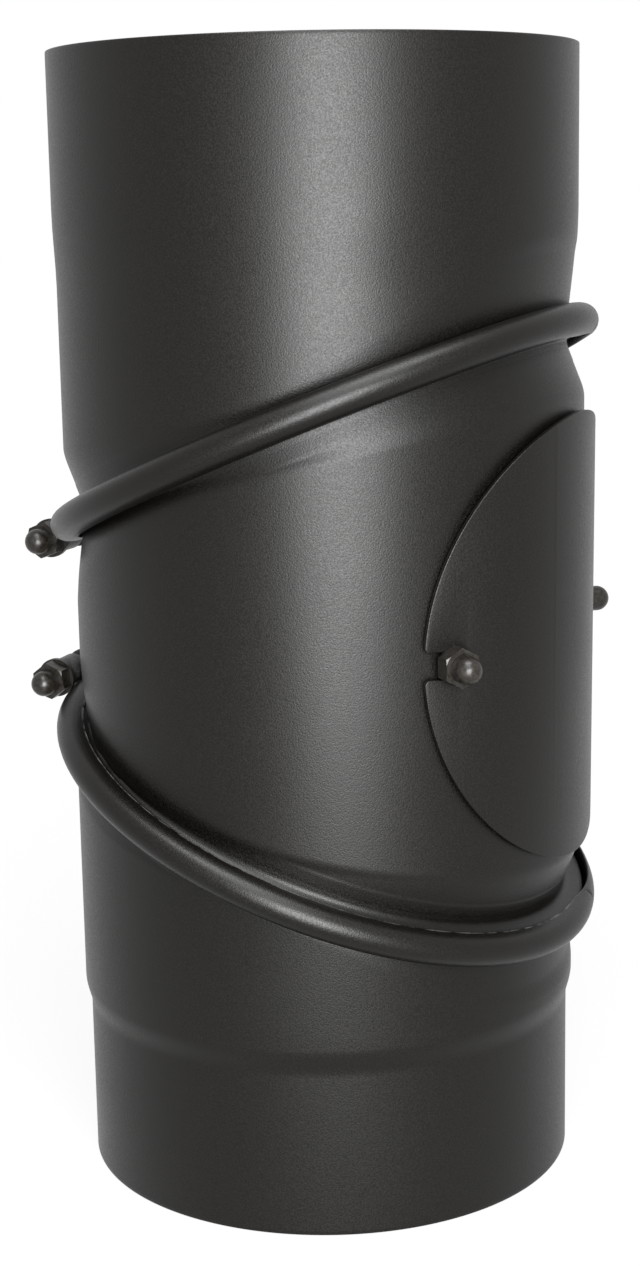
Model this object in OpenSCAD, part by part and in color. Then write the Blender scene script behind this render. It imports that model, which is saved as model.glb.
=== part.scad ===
// Adjustable stove pipe elbow: an inlet pipe, a drum with an inspection door and an outlet
// pipe, joined by two clamped swivel joints whose planes lean against each other.
// Millimetres. The origin is the centre of the spigot's end, +Z runs up the pipe and
// +X points to the door, on the outer side of the bend. The elbow is set straight.

/* [Pipes] */
// Nominal diameter of the flue system
nominal_d = 150; // [130:1:200]
// Sheet thickness of the pipes
wall = 2; // [1.6:0.1:2.4]
// How much wider than nominal the drum and the outlet pipe are outside
drum_swell = 3; // [2:0.1:5]
// How much wider than nominal the inlet pipe is outside
inlet_swell = 1; // [0.4:0.1:2]
// Length of the inlet pipe on its axis, up to the lower joint
inlet_l = 110.5; // [100:0.5:160]
// Length of the drum on its axis, from joint to joint
drum_l = 115.5; // [112:0.5:160]
// Length of the outlet pipe on its axis, from the upper joint to its rim
outlet_l = 109; // [105:0.5:160]
// Sideways offset of the drum towards the door
drum_shift = 2.8; // [0:0.1:4]

/* [Spigot and socket] */
// Length of the reduced spigot that enters the next pipe
spigot_l = 49; // [30:0.5:55]
// How much the spigot is narrower than nominal
spigot_play = 1; // [0.4:0.1:1.6]
// Length of the cone that leads from the spigot to the inlet pipe
spigot_step_l = 3; // [1:0.5:6]
// Depth of the socket that takes the next pipe
socket_l = 45; // [30:0.5:50]
// How much the socket's bore is wider than nominal
socket_play = 0.4; // [0.2:0.1:1]
// Length of the cone that leads from the outlet pipe to the socket
socket_step_l = 22; // [10:1:24]

/* [Swivel joints] */
// Lean of each joint plane from level
joint_tilt = 22.5; // [20:0.5:24]
// Gap between the two lips of a joint
joint_gap = 0.3; // [0.2:0.05:0.6]
// How much the round neck stands out from the drum wall at its closest
neck_rise = 1.5; // [1:0.1:2.5]
// Width of the lip beyond the neck
lip_w = 5.4; // [5:0.1:6]
// Radius where the neck turns out into the lip
neck_fillet = 1.8; // [1.5:0.1:2]
// Depth of the neck below the joint, up to its run out in the wall
neck_depth = 13; // [11:0.5:15]
// Depth of the shoulder's foot below the joint, on the pipe's axis
shoulder_depth = 9.3; // [9:0.1:11]
// Lean of the shoulder against the joint plane
shoulder_lean = 2.75; // [2:0.05:3]
// Radius at the foot of the shoulder
shoulder_foot_r = 5; // [4:0.5:6]
// Radius at the top of the shoulder
shoulder_top_r = 10; // [8:0.5:12]

/* [Clamp rings] */
// Sheet thickness of the ring
ring_wall = 2; // [1.5:0.1:2.4]
// Gap between a lip and the ring's leg
ring_play = 0.35; // [0.25:0.05:0.5]
// How far the lips reach past the centre of the ring's round back
lip_cover = 0.2; // [0:0.1:0.6]
// Gap between the neck and the edge of the ring's legs
leg_play = 1.3; // [1.1:0.1:2]
// Width of the split in the ring
split_w = 6; // [4:0.5:10]
// Turn of the split from the inner side of the bend
clamp_turn = 3; // [-10:0.5:10]
// Turn of the leg's relief cut from the door side
relief_turn = 30; // [0:1:60]
// Radius of the relief cut
relief_r = 54; // [45:1:60]
// How far the relief cut goes past the centre of the ring's round back
relief_reach = 1.8; // [1:0.1:2]

/* [Clamp screws] */
// Thread diameter of every screw
thread_d = 6; // [5:0.5:6.5]
// Width across flats of nuts and screw heads
hex_s = 10; // [9:0.5:11]
// Distance from the ring's back to the screw's axis
screw_out = 4.8; // [4.7:0.1:6]
// Shift of the screw's axis towards the drum
screw_shift = 1.2; // [0:0.1:2]
// Outside diameter of the screw sleeves
sleeve_d = 10; // [9.5:0.1:11]
// Length of each screw sleeve
sleeve_l = 11.5; // [9:0.5:14]
// Play between a screw and its hole, on the diameter
hole_play = 0.4; // [0.2:0.1:0.6]
// Outside diameter of the washers
washer_d = 12; // [11:0.5:12]
// Thickness of the washers
washer_t = 1.6; // [1:0.1:2]
// Height of the clamp screws' heads
head_h = 4; // [3:0.5:5]

/* [Cap nuts] */
// Height of a cap nut
cap_h = 12; // [11:0.5:14]
// Height of its hexagon
cap_hex_h = 5.2; // [4:0.2:6]
// Diameter of its dome
cap_dome_d = 7.8; // [7.6:0.1:9]
// How deep the thread goes in
cap_thread_h = 8; // [7:0.5:8]
// Play in the thread, on the diameter
thread_play = 0.1; // [0.02:0.02:0.2]

/* [Inspection door] */
// Diameter of the round door blank, before it is rolled
door_d = 130; // [126:0.5:132]
// Thickness of the door
door_t = 1.5; // [1:0.1:2]
// How far the door's centre lies below the middle of the drum
door_drop = 1.3; // [-2:0.1:3]
// Turn of the door from the outer side of the bend
door_turn = -1.2; // [-4:0.1:4]
// Diameter of the opening behind the door
hatch_d = 84; // [76:0.5:85]
// Depth of the open slots from the door's side edges, along the sheet
slot_depth = 9.2; // [8:0.1:9.6]
// Width of the open slots at the door's sides
slot_w = 7.6; // [7:0.1:9]
// Rounding at the mouth of a slot
slot_mouth_r = 1.4; // [0.8:0.1:2]
// Distance from the opening's edge to the gasket, along the sheet
gasket_inset = 1; // [0.6:0.1:1.2]
// Width of the gasket
gasket_w = 5; // [4:0.5:5.5]
// Thickness of the gasket
gasket_t = 1.1; // [0.8:0.1:1.5]
// Smallest gap between the gasket and the door screws' holes, along the sheet
stud_play = 0.4; // [0.2:0.1:0.8]
// Diameter of the door screws' heads, inside the drum
stud_head_d = 12; // [10:0.5:13]
// Height of the door screws' heads
stud_head_h = 2.2; // [1.5:0.1:3]

/* [Hidden] */
$fn = 96;
paint = [0.16, 0.16, 0.16];
hardware = [0.09, 0.09, 0.09];
seal_grey = [0.62, 0.6, 0.56];
drum_r = (nominal_d + drum_swell) / 2;
inlet_r = (nominal_d + inlet_swell) / 2;
spigot_r = (nominal_d - spigot_play) / 2;
socket_r = (nominal_d + socket_play) / 2;
total_l = inlet_l + drum_l + outlet_l;
neck_r = drum_r + neck_rise;
lip_r = neck_r + lip_w;
lip_top = joint_gap / 2 + wall;
bead_in_r = lip_top + ring_play;
bead_r = bead_in_r + ring_wall;
bead_centre_r = lip_r - lip_cover;
leg_r = neck_r + leg_play;
screw_r = bead_centre_r + bead_r + screw_out;
sleeve_gap = split_w - 1;
sleeve_end = sleeve_gap / 2 + sleeve_l;
door_z = inlet_l + drum_l / 2 - door_drop;
door_in_r = drum_r + gasket_t;
door_out_r = door_in_r + door_t;
slot_angle = (door_d / 2 - slot_depth) / door_out_r * 180 / PI;
gasket_blank_in_r = drum_r * asin(hatch_d / 2 / drum_r) * PI / 180 + gasket_inset;
hex_r = hex_s / sqrt(3);
chamfer_h = 0.6;
seat_gap = 0.05;
gasket_angle = (gasket_blank_in_r + gasket_w) / (door_in_r - seat_gap) * 180 / PI;
stud_room = ((thread_d + hole_play) / 2 + stud_play) / door_in_r * 180 / PI;
stud_angle = max(slot_angle, gasket_angle + stud_room);
shoulder_top_angle = 72;
shoulder_run = 2;
shoulder_exit_angle = 32;
neck_trim = 0.1;
far = 400;
arc_steps = 8;

// Places its children on the lower joint's circle, with z towards the drum
module on_lower_joint() {
    half_shift = drum_shift / 2;
    translate([half_shift, 0, inlet_l - half_shift * tan(joint_tilt)])
        rotate([0, joint_tilt, 0])
            children();
}

// Places its children on the upper joint's circle, with z towards the drum
module on_upper_joint() {
    half_shift = drum_shift / 2;
    translate([half_shift, 0, inlet_l + drum_l + half_shift * tan(joint_tilt)])
        rotate([0, -joint_tilt, 0])
            mirror([0, 0, 1])
                children();
}

// Outline of the shoulder between neck and wall: out at the foot, back in at the top
function shoulder_outline(inset) =
    let (foot_r = neck_r - 2 * neck_trim,
        foot_c = [foot_r + shoulder_foot_r, shoulder_depth],
        turn = shoulder_top_angle,
        run_start = foot_c + shoulder_foot_r * [-cos(turn), sin(turn)],
        run_end = run_start + shoulder_run * [sin(turn), cos(turn)],
        top_c = run_end + shoulder_top_r * [-cos(turn), sin(turn)],
        exit = shoulder_exit_angle,
        last = top_c + (shoulder_top_r - inset) * [cos(exit), -sin(exit)])
    concat(
        [[0, shoulder_depth]],
        [for (i = [0 : arc_steps]) let (a = turn * i / arc_steps)
            foot_c + (shoulder_foot_r + inset) * [-cos(a), sin(a)]],
        [for (i = [0 : arc_steps]) let (a = turn + (exit - turn) * i / arc_steps)
            top_c + (shoulder_top_r - inset) * [cos(a), -sin(a)]],
        [last + far * [sin(exit), cos(exit)], [0, last[1] + far * cos(exit)]]);

// Space that the pressed end of a pipe may fill: the round neck, then the shoulder.
// side is 1 where the shoulder's foot lies deeper on the door side, else -1.
module neck_limit(inset, side) {
    start = inset > 0 ? -1 : lip_top / 2;
    translate([0, 0, start])
        cylinder(r = neck_r - neck_trim - inset, h = shoulder_depth * 3);
    rotate([0, -side * shoulder_lean, 0])
        rotate_extrude()
            polygon(shoulder_outline(inset));
}

// Neck with its turned-out lip, a solid of revolution about the joint's axis
module neck_flare() {
    z0 = joint_gap / 2;
    bend_c = [neck_r + neck_fillet, lip_top + neck_fillet];
    rotate_extrude()
        polygon(concat(
            [[0, z0], [lip_r, z0], [lip_r, lip_top]],
            [for (i = [0 : arc_steps]) bend_c - neck_fillet * [sin(90 * i / arc_steps),
                cos(90 * i / arc_steps)]],
            [[drum_r - wall / 2, neck_depth], [0, neck_depth]]));
}

// Inside of the neck, one sheet thickness within the flare
module neck_flare_bore() {
    z0 = joint_gap / 2;
    bend_r = neck_fillet + wall;
    bend_c = [neck_r + neck_fillet, z0 + bend_r];
    rotate_extrude()
        polygon(concat(
            [[0, -1], [bend_c[0], -1], [bend_c[0], z0]],
            [for (i = [1 : arc_steps]) bend_c - bend_r * [sin(90 * i / arc_steps),
                cos(90 * i / arc_steps)]],
            [[drum_r - 1.5 * wall, neck_depth], [0, neck_depth]]));
}

// Pipe between two heights, with cones between the radii in profile = [[r, z], ...]
module turned(profile) {
    rotate_extrude()
        polygon(concat([[0, profile[0][1]]], profile, [[0, profile[len(profile) - 1][1]]]));
}

module inlet_blank(inset) {
    over = inset > 0 ? 1 : 0;
    turned([[spigot_r - inset, -over], [spigot_r - inset, spigot_l],
        [inlet_r - inset, spigot_l + spigot_step_l], [inlet_r - inset, total_l]]);
}

module outlet_blank(inset) {
    over = inset > 0 ? 1 : 0;
    socket_z = total_l - socket_l;
    turned([[drum_r - inset, 0], [drum_r - inset, socket_z - socket_step_l],
        [socket_r + wall - inset, socket_z], [socket_r + wall - inset, total_l + over]]);
}

module drum_blank(inset) {
    translate([drum_shift, 0, 0])
        cylinder(r = drum_r - inset, h = total_l);
}

module inlet_pipe() {
    color(paint)
        difference() {
            union() {
                intersection() {
                    inlet_blank(0);
                    on_lower_joint() mirror([0, 0, 1]) neck_limit(0, -1);
                }
                on_lower_joint() mirror([0, 0, 1]) neck_flare();
            }
            intersection() {
                inlet_blank(wall);
                on_lower_joint() mirror([0, 0, 1]) neck_limit(wall, -1);
            }
            on_lower_joint() mirror([0, 0, 1]) neck_flare_bore();
        }
}

module outlet_pipe() {
    color(paint)
        difference() {
            union() {
                intersection() {
                    outlet_blank(0);
                    on_upper_joint() mirror([0, 0, 1]) neck_limit(0, -1);
                }
                on_upper_joint() mirror([0, 0, 1]) neck_flare();
            }
            intersection() {
                outlet_blank(wall);
                on_upper_joint() mirror([0, 0, 1]) neck_limit(wall, -1);
            }
            on_upper_joint() mirror([0, 0, 1]) neck_flare_bore();
        }
}

// Places its children at the door's middle, with x out through the door
module at_door() {
    translate([drum_shift, 0, door_z])
        rotate([0, 0, door_turn])
            children();
}

// Places its children on a door screw's axis, with z outwards from the drum's axis
module on_stud(side) {
    at_door()
        rotate([0, 0, side * stud_angle])
            rotate([0, 90, 0])
                children();
}

module drum() {
    color(paint)
        difference() {
            union() {
                intersection() {
                    drum_blank(0);
                    on_lower_joint() neck_limit(0, 1);
                    on_upper_joint() neck_limit(0, 1);
                }
                on_lower_joint() neck_flare();
                on_upper_joint() neck_flare();
            }
            intersection() {
                drum_blank(wall);
                on_lower_joint() neck_limit(wall, 1);
                on_upper_joint() neck_limit(wall, 1);
            }
            on_lower_joint() neck_flare_bore();
            on_upper_joint() neck_flare_bore();
            at_door() rotate([0, 90, 0]) cylinder(d = hatch_d, h = drum_r + 1);
            for (side = [-1, 1])
                on_stud(side) cylinder(d = thread_d + hole_play, h = drum_r + 1);
        }
}

// Section of the ring: a half-round back that opens into two straight legs
module ring_section() {
    back_steps = 2 * arc_steps;
    polygon(concat(
        [[leg_r, -bead_r]],
        [for (i = [0 : back_steps]) let (a = 180 * i / back_steps - 90)
            [bead_centre_r + bead_r * cos(a), bead_r * sin(a)]],
        [[leg_r, bead_r], [leg_r, bead_in_r]],
        [for (i = [0 : back_steps]) let (a = 90 - 180 * i / back_steps)
            [bead_centre_r + bead_in_r * cos(a), bead_in_r * sin(a)]],
        [[leg_r, -bead_in_r]]));
}

// Relief cut in the leg on the drum's side: an arc struck off the ring's centre
module leg_relief() {
    shift = bead_centre_r + relief_reach - relief_r;
    rotate([0, 0, relief_turn])
        translate([shift, 0, 0])
            cylinder(r = relief_r, h = bead_r + 1);
}

// Places its children on the clamp screw's axis, with z away from the cap nut
module on_clamp_screw() {
    rotate([0, 0, clamp_turn])
        translate([-screw_r, 0, screw_shift])
            rotate([-90, 0, 0])
                children();
}

module clamp_ring() {
    difference() {
        union() {
            difference() {
                rotate_extrude()
                    ring_section();
                rotate([0, 0, clamp_turn])
                    translate([-2 * lip_r, -split_w / 2, -bead_r - 1])
                        cube([2 * lip_r, split_w, 2 * bead_r + 2]);
                leg_relief();
            }
            on_clamp_screw()
                for (end = [-1, 1])
                    translate([0, 0, end * (sleeve_gap + sleeve_l) / 2])
                        cylinder(d = sleeve_d, h = sleeve_l, center = true);
        }
        on_clamp_screw()
            cylinder(d = thread_d + hole_play, h = 3 * sleeve_l, center = true);
    }
}

module lower_clamp_ring() {
    color(paint) on_lower_joint() clamp_ring();
}

module upper_clamp_ring() {
    color(paint) on_upper_joint() clamp_ring();
}

// Hexagon with both rims chamfered, standing on z = 0
module hexagon(h) {
    intersection() {
        cylinder(r = hex_r, h = h, $fn = 6);
        cylinder(r1 = hex_s / 2 + chamfer_h / 4, r2 = hex_s / 2 + chamfer_h / 4 + h * 2, h = h);
        cylinder(r1 = hex_s / 2 + chamfer_h / 4 + h * 2, r2 = hex_s / 2 + chamfer_h / 4, h = h);
    }
}

// Cap nut standing on z = 0, with a blind thread hole
module cap_nut() {
    dome_r = cap_dome_d / 2;
    difference() {
        union() {
            hexagon(cap_hex_h);
            cylinder(r = dome_r, h = cap_h - dome_r);
            translate([0, 0, cap_h - dome_r]) sphere(r = dome_r);
        }
        translate([0, 0, -1]) cylinder(d = thread_d + thread_play, h = cap_thread_h + 1);
    }
}

// Washers, screw and nut of one clamp, each on the screw's axis
module clamp_nut_washer() {
    on_clamp_screw() translate([0, 0, -sleeve_end - washer_t]) washer();
}

module clamp_head_washer() {
    on_clamp_screw() translate([0, 0, sleeve_end]) washer();
}

module washer() {
    difference() {
        cylinder(d = washer_d, h = washer_t);
        translate([0, 0, -1]) cylinder(d = thread_d + hole_play, h = washer_t + 2);
    }
}

module clamp_nut() {
    on_clamp_screw()
        translate([0, 0, -sleeve_end - washer_t])
            mirror([0, 0, 1])
                cap_nut();
}

module clamp_bolt() {
    nut_reach = cap_thread_h - 0.5;
    on_clamp_screw() {
        translate([0, 0, -sleeve_end - washer_t - nut_reach])
            cylinder(d = thread_d, h = 2 * (sleeve_end + washer_t) + nut_reach + head_h / 2);
        translate([0, 0, sleeve_end + washer_t]) hexagon(head_h);
    }
}

module lower_clamp_bolt() {
    color(hardware) on_lower_joint() clamp_bolt();
}

module upper_clamp_bolt() {
    color(hardware) on_upper_joint() clamp_bolt();
}

module lower_clamp_cap_nut() {
    color(hardware) on_lower_joint() clamp_nut();
}

module upper_clamp_cap_nut() {
    color(hardware) on_upper_joint() clamp_nut();
}

module lower_nut_washer() {
    color(hardware) on_lower_joint() clamp_nut_washer();
}

module upper_nut_washer() {
    color(hardware) on_upper_joint() clamp_nut_washer();
}

module lower_head_washer() {
    color(hardware) on_lower_joint() clamp_head_washer();
}

module upper_head_washer() {
    color(hardware) on_upper_joint() clamp_head_washer();
}

// Outline of a round blank of radius blank_r once it is rolled to radius roll_r, seen
// from the front: its height stays, its width bends away
function rolled_round(blank_r, roll_r) =
    [for (i = [0 : 3 : 357]) let (bend = blank_r * cos(i) / roll_r * 180 / PI)
        [-blank_r * sin(i), roll_r * sin(bend)]];

// Rolled sheet between two radii, cut to a round blank
module rolled_disc(in_r, out_r, blank_d) {
    intersection() {
        difference() {
            cylinder(r = out_r, h = 2 * blank_d, center = true);
            cylinder(r = in_r, h = 2 * blank_d + 1, center = true);
        }
        rotate([0, 90, 0])
            linear_extrude(height = out_r + 1)
                polygon(rolled_round(blank_d / 2, out_r));
    }
}

// Open slot at one side of the door, with a rounded mouth
module door_slot(side) {
    mouth = slot_depth;
    mouth_w = slot_w / 2 + slot_mouth_r;
    rotate([0, 0, side * slot_angle])
        rotate([0, 90, 0]) {
            cylinder(d = slot_w, h = door_out_r + 1);
            translate([-slot_w / 2, side > 0 ? 0 : -4 * mouth, 0])
                cube([slot_w, 4 * mouth, door_out_r + 1]);
        }
    rotate([0, 0, side * slot_angle])
        rotate([0, 90, 0])
            difference() {
                translate([-mouth_w, side > 0 ? mouth - slot_mouth_r : -3 * mouth - slot_mouth_r, 0])
                    cube([2 * mouth_w, 2 * mouth + 2 * slot_mouth_r, door_out_r + 1]);
                for (end = [-1, 1])
                    translate([end * mouth_w, side * (mouth - slot_mouth_r), 0])
                        cylinder(r = slot_mouth_r, h = 3 * door_out_r, center = true);
            }
}

module inspection_door() {
    color(paint)
        at_door()
            difference() {
                rolled_disc(door_in_r, door_out_r, door_d);
                for (side = [-1, 1])
                    door_slot(side);
            }
}

module door_gasket() {
    color(seal_grey)
        at_door()
            difference() {
                rolled_disc(drum_r + seat_gap, door_in_r - seat_gap,
                    2 * (gasket_blank_in_r + gasket_w));
                rotate([0, 90, 0])
                    linear_extrude(height = door_in_r + 1)
                        polygon(rolled_round(gasket_blank_in_r, door_in_r));
            }
}

// Door screw: a low head inside the drum and a shank out into the cap nut
module door_stud(side) {
    inner_r = drum_r - wall;
    head_seat = sqrt(inner_r * inner_r - stud_head_d * stud_head_d / 4) - seat_gap;
    tip = door_out_r + cap_thread_h - 0.5;
    color(hardware)
        on_stud(side) {
            translate([0, 0, head_seat - stud_head_h]) cylinder(d = stud_head_d, h = stud_head_h);
            translate([0, 0, head_seat - 1]) cylinder(d = thread_d, h = tip - head_seat + 1);
        }
}

module door_cap_nut(side) {
    color(hardware)
        on_stud(side) translate([0, 0, door_out_r + seat_gap]) cap_nut();
}

inlet_pipe();
drum();
outlet_pipe();
lower_clamp_ring();
upper_clamp_ring();
lower_clamp_bolt();
upper_clamp_bolt();
lower_clamp_cap_nut();
upper_clamp_cap_nut();
lower_nut_washer();
upper_nut_washer();
lower_head_washer();
upper_head_washer();
inspection_door();
door_gasket();
door_stud(-1);  // front_door_stud
door_stud(1);  // rear_door_stud
door_cap_nut(-1);  // front_door_cap_nut
door_cap_nut(1);  // rear_door_cap_nut
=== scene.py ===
"""Looks of an adjustable stove pipe elbow: smooth pressed pipes, clamp rings, a rolled
inspection door and black heat resistant paint. Lengths are in millimetres up to the
meshes, which are in metres."""

import math

import bmesh
import bpy
import numpy as np
from mathutils import Matrix, Vector


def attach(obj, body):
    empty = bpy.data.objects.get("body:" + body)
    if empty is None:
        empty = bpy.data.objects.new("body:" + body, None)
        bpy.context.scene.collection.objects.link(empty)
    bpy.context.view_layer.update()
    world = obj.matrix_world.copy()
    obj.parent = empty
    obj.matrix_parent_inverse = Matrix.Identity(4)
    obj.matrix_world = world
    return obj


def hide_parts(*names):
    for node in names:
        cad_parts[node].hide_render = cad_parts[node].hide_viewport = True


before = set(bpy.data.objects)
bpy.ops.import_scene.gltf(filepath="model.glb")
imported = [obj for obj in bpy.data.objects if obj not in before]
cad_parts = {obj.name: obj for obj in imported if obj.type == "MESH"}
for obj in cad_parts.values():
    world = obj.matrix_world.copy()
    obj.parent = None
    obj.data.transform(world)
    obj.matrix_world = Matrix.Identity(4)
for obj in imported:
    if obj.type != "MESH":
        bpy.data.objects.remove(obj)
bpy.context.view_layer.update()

MM = 0.001

# Pipes, as in the part's source
WALL = 2.0
DRUM_R = 76.5
INLET_R = 76.1
SPIGOT_R = 74.5
SPIGOT_L = 49.0
SPIGOT_STEP_L = 8.0
SOCKET_R = 77.2
SOCKET_L = 45.0
SOCKET_STEP_L = 22.0
INLET_L = 110.5
DRUM_L = 115.5
OUTLET_L = 109.0
TOTAL_L = INLET_L + DRUM_L + OUTLET_L
DRUM_SHIFT = 2.8

# Swivel joints
TILT = math.radians(22.5)
JOINT_X = DRUM_SHIFT / 2
LOWER_RISE = -0.2
UPPER_RISE = -0.83
LIP_Z = 0.15
LIP_TOP = LIP_Z + WALL
LIP_R = 83.4
NECK_R = 75.7
NECK_FILLET = 3.3
FLARE_DEPTH = 10.0
TAPER = math.radians(20.6)
TAPER_LEAN = math.radians(7.7)
TAPER_DEPTH = 4.5
TAPER_FOOT_R = 12.0
NECK_BLEND = 1.0
CREASE_BLEND = 0.4
NECK_END = 23.5
INLET_NECK_END = 19.0
NECK_FADE = 5.0

# Clamp rings and their screws
BEAD_C = 83.0
BEAD_R = 4.7
BEAD_IN_R = 2.7
LEG_R = 80.9
SPLIT_W = 6.0
CLAMP_TURN = math.radians(3)
RELIEF_TURN = math.radians(30)
RELIEF_R = 54.0
RELIEF_REACH = 1.8
SCREW_R = 92.5
SCREW_SHIFT = 1.2
SLEEVE_R = 5.0
SLEEVE_BORE_R = 3.2
SLEEVE_L = 11.5
SLEEVE_GAP = 5.0
# Width of the pale band along the ring legs' inner edges: paint wear, and also a painted highlight
# along those edges
RUBBED_SHEEN_W = 0.7
# Share of that same pale colour on the screw sleeves
SLEEVE_WEAR_SHEEN = 0.4
RING_STATIONS = 280

# Inspection door
DOOR_R = 65.0
DOOR_T = 1.5
DOOR_IN_R = 77.6
DOOR_Z = INLET_L + DRUM_L / 2 - 1.3
DOOR_TURN = math.radians(-1.2)
DOOR_LEAN = math.radians(0.35)
SLOT_W = 7.6
SLOT_DEPTH = 9.2
SLOT_MOUTH_R = 1.4
HATCH_R = 42.0
HATCH_CUT_L = 80.0
STUD_HOLE_R = 3.2
STUD_CUT_L = 20.0
DOOR_EDGE_R = 0.3
DOOR_STRIP_W = 2.6

# Rounding of the sheet's cut edges, and how far its middle stands in from the corner
EDGE_R = 0.4
EDGE_CORNER = 0.12

# Lines along each pipe's wall, evenly spaced
COLUMNS = 240


class JointFrame:
    """A swivel joint's own axes: its circle's centre, and z along its axis. rise moves the
    circle up along the axis, and outward is how far that takes it toward the door's side."""

    def __init__(self, height, lean, rise, flip):
        sine, cosine = math.sin(lean), math.cos(lean)
        axis = np.array([sine, 0.0, cosine])
        side = -1 if flip else 1
        self.centre = np.array([JOINT_X, 0.0, height]) + rise * axis
        self.x = np.array([cosine, 0.0, -sine])
        self.y = np.array([0.0, 1.0, 0.0])
        self.z = axis * side
        self.rise = rise * side
        self.outward = rise * math.tan(lean)

    def point(self, radius, angle, z):
        """Points at these radii, angles and heights, in the object's frame"""
        radius, angle, z = np.broadcast_arrays(radius, angle, z)
        return (self.centre + (radius * np.cos(angle))[..., None] * self.x
                + (radius * np.sin(angle))[..., None] * self.y + z[..., None] * self.z)


def lower_joint(flip=False):
    return JointFrame(INLET_L - JOINT_X * math.tan(TILT), TILT, LOWER_RISE, flip)


def upper_joint(flip=False):
    height = INLET_L + DRUM_L + JOINT_X * math.tan(TILT)
    return JointFrame(height, -TILT, UPPER_RISE, flip)


def smooth_step(x, start, end):
    """0 up to start, 1 from end on and a soft rise between them"""
    t = np.clip((x - start) / (end - start), 0, 1)
    return t * t * (3 - 2 * t)


def smooth_min(a, b, width):
    """The smaller of two, rounded off where they differ by less than width"""
    overlap = np.clip(width - np.abs(a - b), 0, None) / width
    return np.minimum(a, b) - overlap * overlap * width / 4


def smooth_max(a, b, width):
    return -smooth_min(-a, -b, width)


def inlet_wall(z):
    """Outer radius of the inlet pipe at a height"""
    widening = smooth_step(z, SPIGOT_L - 0.5, SPIGOT_L + SPIGOT_STEP_L)
    return SPIGOT_R + (INLET_R - SPIGOT_R) * widening


def outlet_wall(z):
    """Outer radius of the outlet pipe at a height"""
    socket_z = TOTAL_L - SOCKET_L
    return DRUM_R + (SOCKET_R - DRUM_R) * smooth_step(z, socket_z - SOCKET_STEP_L, socket_z)


def drum_wall(z):
    """Outer radius of the drum, the same at every height"""
    return DRUM_R + 0 * z


def neck_radius(joint, wall, axis_x, side, angle, z):
    """Radii from the joint's axis of a pressed pipe end and of the plain wall, at an angle
    and a depth. The pressed end is a round neck that a leaning cone leads out to the wall.
    Both loops repeat until the radius settles."""
    lean = side * TAPER_LEAN
    cone = np.full_like(angle, NECK_R)
    for _ in range(12):
        across = cone * np.cos(angle) * math.cos(lean) + z * math.sin(lean)
        depth = z * math.cos(lean) - cone * np.cos(angle) * math.sin(lean) - TAPER_DEPTH
        run = np.clip(depth - TAPER_FOOT_R * math.sin(TAPER), 0, None)
        turn = np.arcsin(np.clip(depth / TAPER_FOOT_R, 0, math.sin(TAPER)))
        radius = NECK_R + TAPER_FOOT_R * (1 - np.cos(turn)) + run * math.tan(TAPER)
        cone = cone * radius / np.hypot(across, cone * np.sin(angle))
    limit = smooth_max(np.where(depth > 0, cone, NECK_R - NECK_BLEND), NECK_R, NECK_BLEND / 4)
    outward = joint.point(1.0, angle, 0.0) - joint.point(0.0, angle, 0.0)
    start = joint.point(0.0, angle, z) - np.array([axis_x, 0.0, 0.0])
    reach = np.full_like(angle, NECK_R)
    for _ in range(4):
        radius = wall((start + reach[..., None] * outward)[..., 2])
        a = outward[..., 0] ** 2 + outward[..., 1] ** 2
        b = start[..., 0] * outward[..., 0] + start[..., 1] * outward[..., 1]
        c = start[..., 0] ** 2 + start[..., 1] ** 2 - radius ** 2
        reach = (-b + np.sqrt(b * b - a * c)) / a
    flare = NECK_R - np.clip(z - FLARE_DEPTH, 0, None)
    pressed = smooth_max(flare, smooth_min(reach, limit, NECK_BLEND), CREASE_BLEND)
    return pressed, reach


def column_angles(joint, wall_r, axis_x, neck_end):
    """Angles about the joint's axis of straight, evenly spaced lines on the pipe's wall"""
    around = np.linspace(0, 2 * math.pi, COLUMNS, endpoint=False)
    x = axis_x + wall_r * np.cos(around)
    y = wall_r * np.sin(around)
    base = joint.centre
    z = base[2] + (neck_end - (x - base[0]) * joint.z[0]) / joint.z[2]
    offset = np.stack([x, y, z], -1) - base
    return np.arctan2(offset @ joint.y, offset @ joint.x)


def neck_rows(joint, wall, axis_x, side, angles, neck_end):
    """Rows of a pressed pipe end, from its lip's flat to where only the wall is left"""
    def pressed_row(r, z, share=0.0):
        pressed, reach = neck_radius(joint, wall, axis_x, side, angles, np.full_like(angles, z))
        pressed = smooth_max(np.full_like(angles, r), pressed, CREASE_BLEND)
        return pressed + (reach - pressed) * share

    root = pressed_row(NECK_R + NECK_FILLET, LIP_TOP)
    rows = [joint.point(LIP_R - EDGE_R + (root - LIP_R + EDGE_R) * share, angles, LIP_TOP)
            for share in np.linspace(0, 1, 4)]
    for turn in np.linspace(0, math.pi / 2, 9)[1:]:
        r = NECK_R + NECK_FILLET * (1 - math.sin(turn))
        z = LIP_TOP + NECK_FILLET * (1 - math.cos(turn))
        rows.append(joint.point(pressed_row(r, z), angles, z))
    for z in np.linspace(LIP_TOP + NECK_FILLET, neck_end, 44)[1:]:
        share = smooth_step(z, neck_end - NECK_FADE, neck_end)
        rows.append(joint.point(pressed_row(0.0, z, share), angles, z))
    return rows


def wall_rows(first, wall, axis_x, heights):
    """Rows of plain wall above or below the row first, at fractions or heights"""
    around = np.arctan2(first[:, 1], first[:, 0] - axis_x)
    rows = []
    for height in heights:
        z = height(first[:, 2]) if callable(height) else np.full(COLUMNS, float(height))
        r = wall(z)
        rows.append(np.stack([axis_x + r * np.cos(around), r * np.sin(around), z], -1))
    return rows


def between(target, share):
    """A share of the way from a row's own heights to one height"""
    return lambda z: z + (target - z) * share


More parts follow.
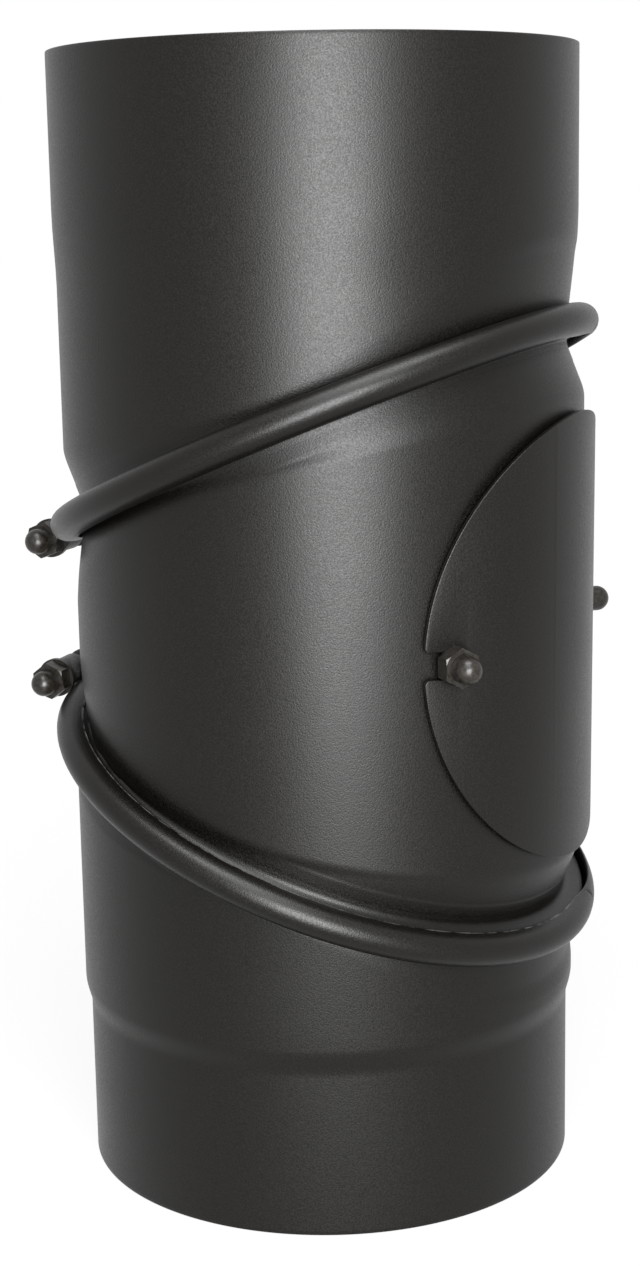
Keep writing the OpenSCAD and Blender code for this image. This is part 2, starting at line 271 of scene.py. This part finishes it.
def inward(rows, depth, outside):
    """The rows moved in by the sheet's thickness along the surface's normal"""
    grid = np.array(rows)
    along = np.gradient(grid, axis=0)
    around = np.roll(grid, -1, 1) - np.roll(grid, 1, 1)
    normal = np.cross(around, along)
    normal /= np.linalg.norm(normal, axis=2, keepdims=True)
    middle = len(rows) // 2
    if (normal[middle] * (grid[middle] - outside)).sum() < 0:
        normal = -normal
    return list(grid - depth * normal)


def rim_rows(end, toward):
    """Rows round the cut edge between the outer row and the inner one"""
    outer, inner = end
    return [outer + (inner - outer) * share + toward * out for share, out in
            ((0.06, 0.28), (0.2, 0.4), (0.8, 0.4), (0.94, 0.28))]


def loop_object(name, loop, material, body, node):
    """A closed tube of sheet from a loop of rows, as an object that stands for a CAD node"""
    grid = np.array(loop) * MM
    rows, columns = grid.shape[:2]
    index = np.arange(rows * columns).reshape(rows, columns)
    a, b = index, np.roll(index, -1, 0)
    faces = np.stack([a, np.roll(a, -1, 1), np.roll(b, -1, 1), b], -1).reshape(-1, 4)
    mesh = bpy.data.meshes.new(name)
    mesh.from_pydata(grid.reshape(-1, 3).tolist(), [], faces.tolist())
    return finish_object(name, mesh, material, body, node)


def finish_object(name, mesh, material, body, node, sharp=None):
    """Links a mesh with outward normals and smooth shading, and ties it to the frame"""
    work = bmesh.new()
    work.from_mesh(mesh)
    bmesh.ops.recalc_face_normals(work, faces=work.faces)
    work.to_mesh(mesh)
    work.free()
    mesh.shade_smooth()
    if sharp:
        mesh.set_sharp_from_angle(angle=math.radians(sharp))
    mesh.materials.append(material)
    piece = bpy.data.objects.new(name, mesh)
    bpy.context.scene.collection.objects.link(piece)
    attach(piece, body)
    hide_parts(node)
    return piece


def make_inlet_pipe(material):
    joint = lower_joint(flip=True)
    angles = column_angles(joint, INLET_R, 0.0, INLET_NECK_END)
    outer = neck_rows(joint, inlet_wall, 0.0, -1, angles, INLET_NECK_END)
    foot = SPIGOT_L + SPIGOT_STEP_L
    outer += wall_rows(outer[-1], inlet_wall, 0.0,
                       [between(foot, s) for s in (0.25, 0.5, 0.75, 1.0)]
                       + list(np.linspace(foot, SPIGOT_L - 1, 14)[1:])
                       + [36, 24, 12, 4, 1.5, EDGE_R])
    inner = inward(outer, WALL, np.array([0.0, 0.0, 0.0]))
    loop = (outer + rim_rows((outer[-1], inner[-1]), np.array([0, 0, -1.0]))
            + inner[::-1] + lip_edge(joint, angles))
    return loop_object("inlet_pipe_pressed", loop, material, "inlet", "inlet_pipe")


def lip_edge(joint, angles):
    """Rows round a lip's outer edge, from its joint face to its back"""
    edge = ((LIP_R - EDGE_CORNER, LIP_Z + EDGE_CORNER), (LIP_R, LIP_Z + EDGE_R),
            (LIP_R, LIP_TOP - EDGE_R), (LIP_R - EDGE_CORNER, LIP_TOP - EDGE_CORNER))
    return [joint.point(r, angles, z) for r, z in edge]


def make_outlet_pipe(material):
    joint = upper_joint()
    angles = column_angles(joint, DRUM_R, 0.0, NECK_END)
    outer = neck_rows(joint, outlet_wall, 0.0, -1, angles, NECK_END)
    top = TOTAL_L - SOCKET_L + 1
    outer += wall_rows(outer[-1], outlet_wall, 0.0,
                       [between(top, s) for s in np.linspace(0, 1, 13)[1:]]
                       + [TOTAL_L - d for d in (30, 18, 8, 3, 1.2, EDGE_R)])
    inner = inward(outer, WALL, np.array([0.0, 0.0, 0.0]))
    loop = (outer + rim_rows((outer[-1], inner[-1]), np.array([0, 0, 1.0]))
            + inner[::-1] + lip_edge(joint, angles))
    return loop_object("outlet_pipe_pressed", loop, material, "outlet", "outlet_pipe")


def make_drum(material):
    lower = lower_joint()
    upper = upper_joint(flip=True)
    lower_angles = column_angles(lower, DRUM_R, DRUM_SHIFT, NECK_END)
    upper_angles = column_angles(upper, DRUM_R, DRUM_SHIFT, NECK_END)
    below = neck_rows(lower, drum_wall, DRUM_SHIFT, 1, lower_angles, NECK_END)
    above = neck_rows(upper, drum_wall, DRUM_SHIFT, 1, upper_angles, NECK_END)
    middle = [below[-1] + (above[-1] - below[-1]) * s for s in np.linspace(0, 1, 22)[1:-1]]
    outer = below + middle + above[::-1]
    inner = inward(outer, WALL, np.array([DRUM_SHIFT, 0.0, 0.0]))
    loop = (outer + lip_edge(upper, upper_angles)[::-1] + inner[::-1]
            + lip_edge(lower, lower_angles))
    drum = loop_object("drum_pressed", loop, material, "drum", "drum")
    cut_holes(drum)
    return drum


def door_frame():
    """Turns the door's own axes, x out through the door, into the object's"""
    middle = Matrix.Translation((DRUM_SHIFT * MM, 0, DOOR_Z * MM))
    return middle @ Matrix.Rotation(DOOR_TURN, 4, "Z")


def door_lean():
    """The closed door's slight lean: its foot rests on the gasket and its top stands out"""
    foot = Matrix.Translation((DOOR_IN_R * MM, 0, -DOOR_R * MM))
    return foot @ Matrix.Rotation(DOOR_LEAN, 4, "Y") @ foot.inverted()


def stud_angle():
    """Angle about the drum's axis from the door's middle to a door screw"""
    return (DOOR_R - SLOT_DEPTH) / (DOOR_IN_R + DOOR_T)


def cut_holes(drum):
    """Cuts the inspection opening and the two screw holes into the drum's wall"""
    cutters = [(0.0, HATCH_R, HATCH_CUT_L), (stud_angle(), STUD_HOLE_R, STUD_CUT_L),
               (-stud_angle(), STUD_HOLE_R, STUD_CUT_L)]
    work = bmesh.new()
    for turn, radius, length in cutters:
        place = (door_frame() @ Matrix.Rotation(turn, 4, "Z")
                 @ Matrix.Rotation(math.pi / 2, 4, "Y")
                 @ Matrix.Translation((0, 0, DRUM_R * MM)))
        bmesh.ops.create_cone(work, cap_ends=True, segments=96, radius1=radius * MM,
                              radius2=radius * MM, depth=length * MM, matrix=place)
    mesh = bpy.data.meshes.new("hole_cutters")
    work.to_mesh(mesh)
    work.free()
    cutter = bpy.data.objects.new("hole_cutters", mesh)
    bpy.context.scene.collection.objects.link(cutter)
    cut = drum.modifiers.new("holes", "BOOLEAN")
    cut.operation = "DIFFERENCE"
    cut.solver = "EXACT"
    cut.object = cutter
    bpy.context.view_layer.update()
    graph = bpy.context.evaluated_depsgraph_get()
    done = bpy.data.meshes.new_from_object(drum.evaluated_get(graph), depsgraph=graph)
    drum.modifiers.clear()
    drum.data = done
    done.set_sharp_from_angle(angle=math.radians(50))
    bpy.data.objects.remove(cutter)


def ring_face(leg, bend_r, flat_points=5, bend_points=8):
    """From the drum-side leg's edge out to the bead's widest point, at a bend radius"""
    start = math.acos(max(leg - BEAD_C, 0) / bend_r)
    flat = np.linspace(leg, BEAD_C, flat_points)[:-1] if leg < BEAD_C else []
    bend = np.linspace(start, 0, flat_points + bend_points - 1 - len(flat))
    return ([(r, bend_r) for r in flat]
            + [(BEAD_C + bend_r * math.cos(a), bend_r * math.sin(a)) for a in bend])


def ring_section(leg):
    """Closed outline of the ring's section as (radius, z), with its drum-side leg from leg"""
    edge = EDGE_R
    outer = ring_face(leg + edge, BEAD_R)
    inner = ring_face(leg + edge, BEAD_IN_R)
    far_outer = [(r, -z) for r, z in ring_face(LEG_R + edge, BEAD_R)[-2::-1]]
    far_inner = [(r, -z) for r, z in ring_face(LEG_R + edge, BEAD_IN_R)]
    cut = EDGE_CORNER
    far_edge = [(LEG_R + cut, -BEAD_R + cut), (LEG_R, -BEAD_R + edge),
                (LEG_R, -BEAD_IN_R - edge), (LEG_R + cut, -BEAD_IN_R - cut)]
    top, low = outer[0][1], inner[0][1]
    near_edge = [(leg + cut, low + cut), (leg, low + edge), (leg, top - edge),
                 (leg + cut, top - cut)]
    return outer + far_outer + far_edge + far_inner[:-1] + inner[::-1] + near_edge


def relief_leg(angle):
    """Radius at which the drum-side leg begins, at an angle"""
    shift = BEAD_C + RELIEF_REACH - RELIEF_R
    off = angle - RELIEF_TURN
    reach = shift * math.cos(off) + math.sqrt(max(RELIEF_R ** 2 - (shift * math.sin(off)) ** 2, 0))
    return max(LEG_R, reach)


def lathe(profile, place, segments=48):
    """Vertices and faces of a closed profile turned about z and placed by a matrix"""
    verts = []
    for i in range(segments):
        angle = 2 * math.pi * i / segments
        verts += [place @ Vector((r * math.cos(angle), r * math.sin(angle), z)) for r, z in profile]
    count = len(profile)
    faces = []
    for i in range(segments):
        j = (i + 1) % segments
        for k in range(count):
            n = (k + 1) % count
            faces.append((i * count + k, j * count + k, j * count + n, i * count + n))
    return verts, faces


def make_sleeves(joint):
    """Meshes of a ring's two screw sleeves, one on each side of its split"""
    screw_z = SCREW_SHIFT - joint.rise
    middle = joint.point(np.array(SCREW_R), np.array(math.pi + CLAMP_TURN), np.array(screw_z))
    along = (joint.point(np.array(1.0), np.array(math.pi / 2 + CLAMP_TURN), np.array(0.0))
             - joint.centre)
    spin = Vector((0, 0, 1)).rotation_difference(Vector(along)).to_matrix().to_4x4()
    start = SLEEVE_GAP / 2
    stop = start + SLEEVE_L
    e = EDGE_R
    profile = [(SLEEVE_BORE_R, start + e), (SLEEVE_BORE_R + e, start), (SLEEVE_R - e, start),
               (SLEEVE_R, start + e), (SLEEVE_R, stop - e), (SLEEVE_R - e, stop),
               (SLEEVE_BORE_R + e, stop), (SLEEVE_BORE_R, stop - e)]
    return [lathe([(r, end * z) for r, z in profile], Matrix.Translation(Vector(middle)) @ spin)
            for end in (-1, 1)]


def make_clamp_ring(name, joint, material, node):
    """The split ring with its two screw sleeves"""
    gap = math.asin(SPLIT_W / 2 / BEAD_C)
    # A moved joint plane may carry its ring outward, so that ring is drawn in as far
    squeeze = max(0, joint.outward)
    stations = np.linspace(math.pi + CLAMP_TURN + gap, 3 * math.pi + CLAMP_TURN - gap,
                           RING_STATIONS)
    verts = []
    wear = []
    for angle in stations:
        outline = ring_section(relief_leg(math.remainder(angle, 2 * math.pi)))
        for r, z in outline:
            verts.append(Vector(joint.point(np.array(r - squeeze), np.array(angle),
                                            np.array(z))))
            # The legs' inner edges take the pale colour: paint wear, and also a painted highlight
            # along them
            wear.append(1.0 if r < LEG_R + RUBBED_SHEEN_W else 0.0)
    count = len(outline)
    faces = []
    for i in range(len(stations) - 1):
        for k in range(count):
            n = (k + 1) % count
            faces.append((i * count + k, (i + 1) * count + k, (i + 1) * count + n, i * count + n))
    faces.append(tuple(range(count)))
    faces.append(tuple(range(len(verts) - count, len(verts))))
    for sleeve_verts, sleeve_faces in make_sleeves(joint):
        base = len(verts)
        verts += sleeve_verts
        wear += [SLEEVE_WEAR_SHEEN] * len(sleeve_verts)
        faces += [tuple(base + v for v in face) for face in sleeve_faces]
    mesh = bpy.data.meshes.new(name)
    mesh.from_pydata([tuple(v * MM) for v in verts], [], faces)
    mask = mesh.attributes.new("wear", "FLOAT", "POINT")
    mask.data.foreach_set("value", wear)
    return finish_object(name, mesh, material, "drum", node, sharp=40)


def door_outline():
    """Outline of the flat door blank with its two open slots, as (across, up) points"""
    half = SLOT_W / 2
    start = math.asin((half + SLOT_MOUTH_R) / DOOR_R)
    corner_x = math.sqrt((DOOR_R - SLOT_MOUTH_R) ** 2 - (half + SLOT_MOUTH_R) ** 2)
    points = []
    for side in (1, -1):
        rim = np.linspace(start, math.pi - start, 120)
        corner = (corner_x * side, (half + SLOT_MOUTH_R) * side)
        first = start
        for a in np.linspace(-math.pi / 2, first, 7):
            points.append((corner[0] + side * SLOT_MOUTH_R * math.cos(a),
                           corner[1] + side * SLOT_MOUTH_R * math.sin(a)))
        points += [(side * DOOR_R * math.cos(a), side * DOOR_R * math.sin(a)) for a in rim[1:-1]]
        corner = (-corner_x * side, (half + SLOT_MOUTH_R) * side)
        for a in np.linspace(math.pi - first, 3 * math.pi / 2, 7):
            points.append((corner[0] + side * SLOT_MOUTH_R * math.cos(a),
                           corner[1] + side * SLOT_MOUTH_R * math.sin(a)))
        centre = -(DOOR_R - SLOT_DEPTH) * side
        points += [(centre + side * half * math.sin(a), side * half * math.cos(a))
                   for a in np.linspace(0, math.pi, 17)]
    return points


def make_door(material):
    """The door: a round blank with two open slots, rolled about the drum's axis"""
    outline = door_outline()
    work = bmesh.new()
    rim = [work.verts.new((x, y, 0)) for x, y in outline]
    face = work.faces.new(rim)
    face.normal_update()
    if face.normal.z < 0:
        face.normal_flip()
    for x in np.arange(-DOOR_R + DOOR_STRIP_W / 2, DOOR_R, DOOR_STRIP_W):
        bmesh.ops.bisect_plane(work, geom=work.verts[:] + work.edges[:] + work.faces[:],
                               plane_co=(x, 0, 0), plane_no=(1, 0, 0))
    grown = bmesh.ops.extrude_face_region(work, geom=work.faces[:])
    top = [g for g in grown["geom"] if isinstance(g, bmesh.types.BMVert)]
    bmesh.ops.translate(work, verts=top, vec=(0, 0, DOOR_T))
    work.edges.ensure_lookup_table()
    corners = [e for e in work.edges if len(e.link_faces) == 2
               and abs(e.verts[0].co.z - e.verts[1].co.z) < 1e-6
               and e.calc_face_angle(0) > 1.0]
    bmesh.ops.bevel(work, geom=corners, offset=DOOR_EDGE_R, segments=3, affect="EDGES",
                    profile=0.5)
    outer_r = DOOR_IN_R + DOOR_T
    for v in work.verts:
        angle = v.co.x / outer_r
        r = DOOR_IN_R + v.co.z
        v.co = Vector((r * math.cos(angle), r * math.sin(angle), v.co.y)) * MM
    work.transform(door_frame() @ door_lean())
    mesh = bpy.data.meshes.new("inspection_door_rolled")
    work.to_mesh(mesh)
    work.free()
    return finish_object("inspection_door_rolled", mesh, material, "drum", "inspection_door",
                         sharp=45)


# Finishes, as linear colours. The paint is nearly black, and its sheen gives it its look.
PAINT_DARK = (0.0006, 0.0004, 0.0002)
PAINT_LIGHT = (0.0026, 0.0019, 0.0013)
PAINT_GLOSS = 0.25
# Pale grey of paint wear on the ring edges, which is also a painted highlight along them
RUBBED_SHEEN = (0.10, 0.10, 0.097)
HARDWARE_DARK = (0.006, 0.005, 0.004)
HARDWARE_LIGHT = (0.016, 0.014, 0.011)
HARDWARE_GLOSS = 0.3
GASKET_DARK = (0.34, 0.32, 0.29)
GASKET_LIGHT = (0.62, 0.6, 0.56)


def new_material(name):
    """A material, its node tree, its shader node and its object coordinates"""
    material = bpy.data.materials.new(name)
    material.use_nodes = True
    tree = material.node_tree
    coords = tree.nodes.new("ShaderNodeTexCoord").outputs["Object"]
    return material, tree, tree.nodes["Principled BSDF"], coords


def noise(tree, coords, scale, detail=2.0, rough=0.5):
    node = tree.nodes.new("ShaderNodeTexNoise")
    node.inputs["Scale"].default_value = scale
    node.inputs["Detail"].default_value = detail
    node.inputs["Roughness"].default_value = rough
    tree.links.new(coords, node.inputs["Vector"])
    return node.outputs["Fac"]


def ramp(tree, source, low, high, low_value, high_value):
    """Maps source from low..high to low_value..high_value"""
    node = tree.nodes.new("ShaderNodeMapRange")
    node.inputs["From Min"].default_value = low
    node.inputs["From Max"].default_value = high
    node.inputs["To Min"].default_value = low_value
    node.inputs["To Max"].default_value = high_value
    tree.links.new(source, node.inputs["Value"])
    return node.outputs["Result"]


def mix_colour(tree, share, first, second):
    node = tree.nodes.new("ShaderNodeMix")
    node.data_type = "RGBA"
    tree.links.new(share, node.inputs["Factor"])
    for socket, value in (("A", first), ("B", second)):
        target = [s for s in node.inputs if s.name == socket and s.type == "RGBA"][0]
        if isinstance(value, tuple):
            target.default_value = (*value, 1)
        else:
            tree.links.new(value, target)
    return [s for s in node.outputs if s.type == "RGBA"][0]


def combine(tree, operation, first, second):
    node = tree.nodes.new("ShaderNodeMath")
    node.operation = operation
    tree.links.new(first, node.inputs[0])
    tree.links.new(second, node.inputs[1])
    return node.outputs[0]


def bump(tree, height, strength, distance):
    node = tree.nodes.new("ShaderNodeBump")
    node.inputs["Strength"].default_value = strength
    node.inputs["Distance"].default_value = distance
    tree.links.new(height, node.inputs["Height"])
    return node.outputs["Normal"]


def grain_paint(name, dark, light, roughness, rubbed_sheen_colour=None):
    """Matt heat resistant paint with fine mineral grain, and where a wear colour is given, paint
    wear on the masked edges whose pale grey is also a painted highlight
    """
    material, tree, shader, coords = new_material(name)
    fine = noise(tree, coords, 2200.0, 1.0)
    clouds = noise(tree, coords, 22.0, 3.0)
    speck = ramp(tree, fine, 0.35, 0.72, 0.0, 1.0)
    colour = mix_colour(tree, speck, dark, light)
    toned = mix_colour(tree, ramp(tree, clouds, 0.3, 0.7, 0.0, 0.35), colour, dark)
    cloudy = ramp(tree, clouds, 0.3, 0.7, roughness - 0.02, roughness + 0.02)
    rough = combine(tree, "ADD", cloudy, ramp(tree, fine, 0.3, 0.7, -0.07, 0.07))
    if rubbed_sheen_colour:
        mask = tree.nodes.new("ShaderNodeAttribute")
        mask.attribute_name = "wear"
        patches = ramp(tree, noise(tree, coords, 260.0, 4.0, 0.6), 0.42, 0.62, 0.0, 1.0)
        rubbed_sheen_share = combine(tree, "MULTIPLY", mask.outputs["Fac"], patches)
        # Mixes in the pale colour on the masked edges: paint wear and a painted highlight
        toned = mix_colour(tree, rubbed_sheen_share, toned, rubbed_sheen_colour)
    tree.links.new(toned, shader.inputs["Base Color"])
    tree.links.new(rough, shader.inputs["Roughness"])
    tree.links.new(bump(tree, fine, 0.8, 0.00006), shader.inputs["Normal"])
    shader.inputs["Specular IOR Level"].default_value = PAINT_GLOSS
    return material


def dark_hardware():
    """Black satin finish of the screws and cap nuts"""
    material, tree, shader, coords = new_material("black_hardware")
    wear = noise(tree, coords, 900.0, 3.0)
    colour = mix_colour(tree, ramp(tree, wear, 0.4, 0.75, 0.0, 1.0), HARDWARE_DARK,
                        HARDWARE_LIGHT)
    tree.links.new(colour, shader.inputs["Base Color"])
    tree.links.new(ramp(tree, wear, 0.3, 0.7, 0.26, 0.4), shader.inputs["Roughness"])
    tree.links.new(bump(tree, wear, 0.15, 0.00008), shader.inputs["Normal"])
    shader.inputs["Specular IOR Level"].default_value = HARDWARE_GLOSS
    return material


def gasket_weave():
    """Pale glass fibre tape"""
    material, tree, shader, coords = new_material("gasket_weave")
    threads = noise(tree, coords, 1800.0, 3.0)
    colour = mix_colour(tree, threads, GASKET_DARK, GASKET_LIGHT)
    tree.links.new(colour, shader.inputs["Base Color"])
    shader.inputs["Roughness"].default_value = 0.9
    tree.links.new(bump(tree, threads, 0.5, 0.0002), shader.inputs["Normal"])
    return material


def paint_node(node, material, smooth=30):
    """Gives its finish to a solid that stays in view"""
    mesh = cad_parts[node].data
    mesh.materials.clear()
    mesh.materials.append(material)
    mesh.shade_smooth()
    mesh.set_sharp_from_angle(angle=math.radians(smooth))


# The photograph's camera, found from the pipe's rims, sides and joints
CAMERA_AT = Vector((0.2623, -0.6003, 0.2948))
CAMERA_PITCH = 0.2003
CAMERA_ROLL = -0.0182
CAMERA_AZIMUTH = math.radians(23.67)
FOCAL_PIXELS = 2182.3
PHOTO_HEIGHT = 1266
SENSOR = 36.0

# Lamps: name, azimuth from the camera's and elevation in degrees, distance, width and height
# in metres, and power in watts
LAMPS = (
    ("key_high", 7, 14.7, 0.88, 0.42, 0.26, 11),
    ("key_low", 3.5, -2.5, 0.85, 0.42, 0.26, 9),
    ("top_light", 3, 48, 1.0, 0.5, 0.4, 5),
    ("overhead", 3, 72, 0.9, 0.6, 0.4, 9),
)
LAMP_TARGET = Vector((0, 0, TOTAL_L / 2 * MM))
WORLD_LEVEL = 0.10

# Floor, in metres, and its glow
FLOOR_SIZE = 16
FLOOR_GAP = 0.0003
NEAR = 0.1
FAR = 0.9
FLOOR_GLOW = 0.9
FAR_GLOW = 1.1


def make_camera():
    """The photograph's camera"""
    right = Vector((math.cos(CAMERA_AZIMUTH), math.sin(CAMERA_AZIMUTH), 0))
    away = Vector((-math.sin(CAMERA_AZIMUTH), math.cos(CAMERA_AZIMUTH), 0))
    forward = math.cos(CAMERA_PITCH) * away - math.sin(CAMERA_PITCH) * Vector((0, 0, 1))
    up = math.sin(CAMERA_PITCH) * away + math.cos(CAMERA_PITCH) * Vector((0, 0, 1))
    rolled_right = math.cos(CAMERA_ROLL) * right + math.sin(CAMERA_ROLL) * up
    rolled_up = math.cos(CAMERA_ROLL) * up - math.sin(CAMERA_ROLL) * right
    data = bpy.data.cameras.new("photo_camera")
    data.sensor_width = SENSOR
    data.lens = FOCAL_PIXELS / PHOTO_HEIGHT * SENSOR
    data.clip_start = 0.01
    camera = bpy.data.objects.new("photo_camera", data)
    turn = Matrix((rolled_right, rolled_up, -forward)).transposed()
    camera.matrix_world = Matrix.Translation(CAMERA_AT) @ turn.to_4x4()
    bpy.context.scene.collection.objects.link(camera)
    bpy.context.scene.camera = camera


def softbox(name, azimuth, elevation, distance, width, height, power):
    """A soft light aimed at the object; azimuth is counted from the camera's own"""
    a = CAMERA_AZIMUTH + math.radians(azimuth)
    e = math.radians(elevation)
    back = Vector((math.sin(a) * math.cos(e), -math.cos(a) * math.cos(e), math.sin(e)))
    data = bpy.data.lights.new(name, "AREA")
    data.shape = "RECTANGLE"
    data.size = width
    data.size_y = height
    data.energy = power
    light = bpy.data.objects.new(name, data)
    light.matrix_world = (Matrix.Translation(LAMP_TARGET + back * distance)
                          @ back.to_track_quat("Z", "Y").to_matrix().to_4x4())
    bpy.context.scene.collection.objects.link(light)


def seen_directly(tree):
    """1 on rays that should meet the plain white surround"""
    path = tree.nodes.new("ShaderNodeLightPath")
    share = path.outputs["Is Camera Ray"]
    for kind in ("Is Glossy Ray", "Is Transmission Ray"):
        share = combine(tree, "MAXIMUM", share, path.outputs[kind])
    return share


def make_world(level):
    """A plain white surround that lights the object at a low level"""
    world = bpy.data.worlds.new("studio")
    bpy.context.scene.world = world
    world.use_nodes = True
    tree = world.node_tree
    background = tree.nodes["Background"]
    background.inputs["Color"].default_value = (1, 1, 1, 1)
    strength = ramp(tree, seen_directly(tree), 0.0, 1.0, level, 1.0)
    tree.links.new(strength, background.inputs["Strength"])


def make_floor():
    """A wide pale floor that keeps the object's shadow. It glows more with distance, where
    the lamps don't reach, so that it meets the white surround."""
    bpy.ops.mesh.primitive_plane_add(size=FLOOR_SIZE, location=(0, 0, -FLOOR_GAP))
    floor = bpy.context.object
    floor.name = "studio_floor"
    material, tree, shader, coords = new_material("floor_white")
    shader.inputs["Base Color"].default_value = (0.8, 0.8, 0.8, 1)
    shader.inputs["Roughness"].default_value = 0.9
    glow = tree.nodes.new("ShaderNodeEmission")
    away = tree.nodes.new("ShaderNodeVectorMath")
    away.operation = "LENGTH"
    tree.links.new(coords, away.inputs[0])
    strength = ramp(tree, away.outputs["Value"], NEAR, FAR, 1.0, FAR_GLOW)
    tree.links.new(strength, glow.inputs["Strength"])
    mix = tree.nodes.new("ShaderNodeMixShader")
    tree.links.new(ramp(tree, seen_directly(tree), 0.0, 1.0, 0.0, FLOOR_GLOW), mix.inputs["Fac"])
    tree.links.new(shader.outputs["BSDF"], mix.inputs[1])
    tree.links.new(glow.outputs["Emission"], mix.inputs[2])
    tree.links.new(mix.outputs["Shader"], tree.nodes["Material Output"].inputs["Surface"])
    floor.data.materials.append(material)


pipe_paint = grain_paint("matt_pipe_paint", PAINT_DARK, PAINT_LIGHT, 0.40)
# The ring paint's pale edges are paint wear and also a painted highlight
ring_paint = grain_paint("rubbed_sheen_ring_paint", PAINT_DARK, PAINT_LIGHT, 0.38, rubbed_sheen_colour=RUBBED_SHEEN)
hardware = dark_hardware()

make_inlet_pipe(pipe_paint)
make_drum(pipe_paint)
make_outlet_pipe(pipe_paint)
make_door(pipe_paint)
make_clamp_ring("lower_ring_rolled", lower_joint(), ring_paint, "lower_clamp_ring")
make_clamp_ring("upper_ring_rolled", upper_joint(flip=True), ring_paint, "upper_clamp_ring")
paint_node("door_gasket", gasket_weave())
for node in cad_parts:
    if any(word in node for word in ("bolt", "washer", "stud", "cap_nut")):
        paint_node(node, hardware)

bpy.context.scene.view_settings.view_transform = "Standard"
make_camera()
make_world(WORLD_LEVEL)
make_floor()
for lamp in LAMPS:
    softbox(*lamp)
